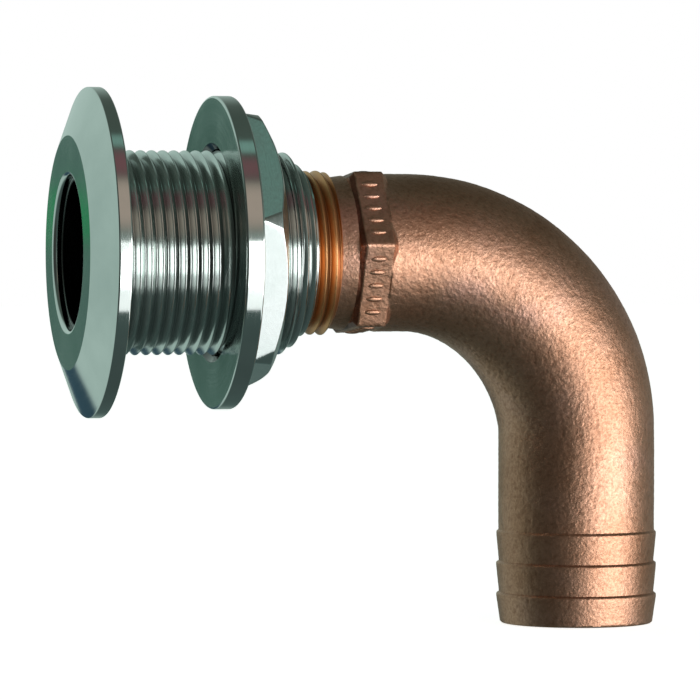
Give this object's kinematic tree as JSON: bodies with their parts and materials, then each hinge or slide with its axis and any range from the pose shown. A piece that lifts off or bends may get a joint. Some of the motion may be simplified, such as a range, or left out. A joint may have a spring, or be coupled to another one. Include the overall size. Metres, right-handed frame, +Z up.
{
  "type": "thru hull fitting",
  "caption": "Flanged thru-hull skin fitting with a threaded barrel, backing washer, hex hull nut and a screwed-in 90 degree elbow with a barbed hose tail.",
  "frame": {"origin": "on the waterway's axis, in the plane of the flange face that seats on the hull", "axes": "+X along the waterway, inboard; +Z up, so that the hose tail hangs down along -Z at rest; the flange is at -X"},
  "size_m": [0.1253, 0.0674, 0.1113],
  "materials": {
    "polished_stainless": "turned and polished stainless steel",
    "cast_stainless": "cast stainless steel, polished on its flats",
    "cast_bronze": "sand-cast red bronze, as cast, with machined threads"
  },
  "bodies": {
    "body": {"thru_hull_body": "polished_stainless"},
    "washer": {"hull_washer": "polished_stainless"},
    "nut": {"hull_nut": "cast_stainless"},
    "elbow": {"hose_elbow": "cast_bronze"}
  },
  "joints": [
    {"name": "nut_travel", "type": "slide", "parent": "body", "child": "washer", "axis": [1, 0, 0], "range_m": [-0.02309, 0.0052]},
    {"name": "nut_turn", "type": "hinge", "parent": "washer", "child": "nut", "pos_m": [0, 0, 0], "axis": [1, 0, 0], "range_deg": [-3600, 810]},
    {"name": "elbow_clock", "type": "hinge", "parent": "body", "child": "elbow", "pos_m": [0, 0, 0], "axis": [1, 0, 0], "range_deg": [-180, 180]}
  ],
  "couplings": [
    {"joint": "nut_travel", "follows": "nut_turn", "m_per_rad": 0.0003675}
  ]
}
